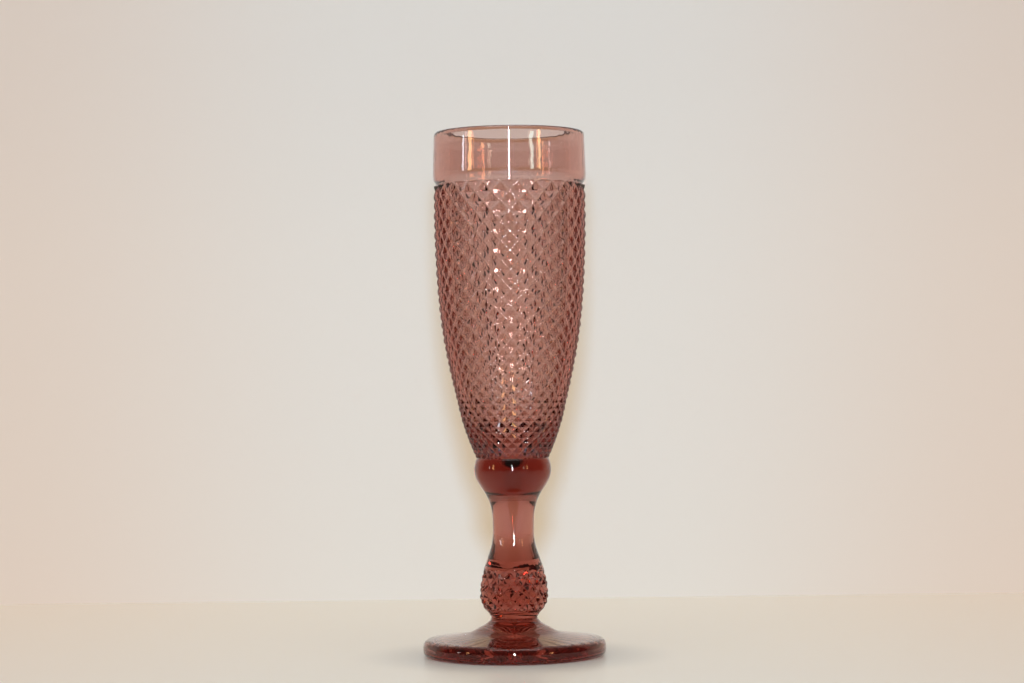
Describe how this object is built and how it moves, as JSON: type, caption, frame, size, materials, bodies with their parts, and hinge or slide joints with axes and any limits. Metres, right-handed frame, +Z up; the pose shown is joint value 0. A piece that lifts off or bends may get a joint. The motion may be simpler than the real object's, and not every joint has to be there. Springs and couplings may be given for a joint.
{
  "type": "champagne flute",
  "caption": "Tall pressed-glass flute: tapering bowl with a diamond relief and plain rim band, waisted stem with a diamond knop, and a thick round foot rayed beneath.",
  "frame": {"origin": "centre of the resting plane under the foot", "axes": "+Z up along the axis of revolution, towards the rim"},
  "size_m": [0.0716, 0.0716, 0.205],
  "materials": {
    "bowl_glass": "clear dusty-rose pressed glass, fire-polished",
    "stem_glass": "clear dusty-rose pressed glass, darker where it is solid",
    "foot_glass": "clear dusty-rose pressed glass, fire-polished"
  },
  "bodies": {
    "root": {"bowl": "bowl_glass", "stem": "stem_glass", "foot": "foot_glass"}
  },
  "joints": []
}
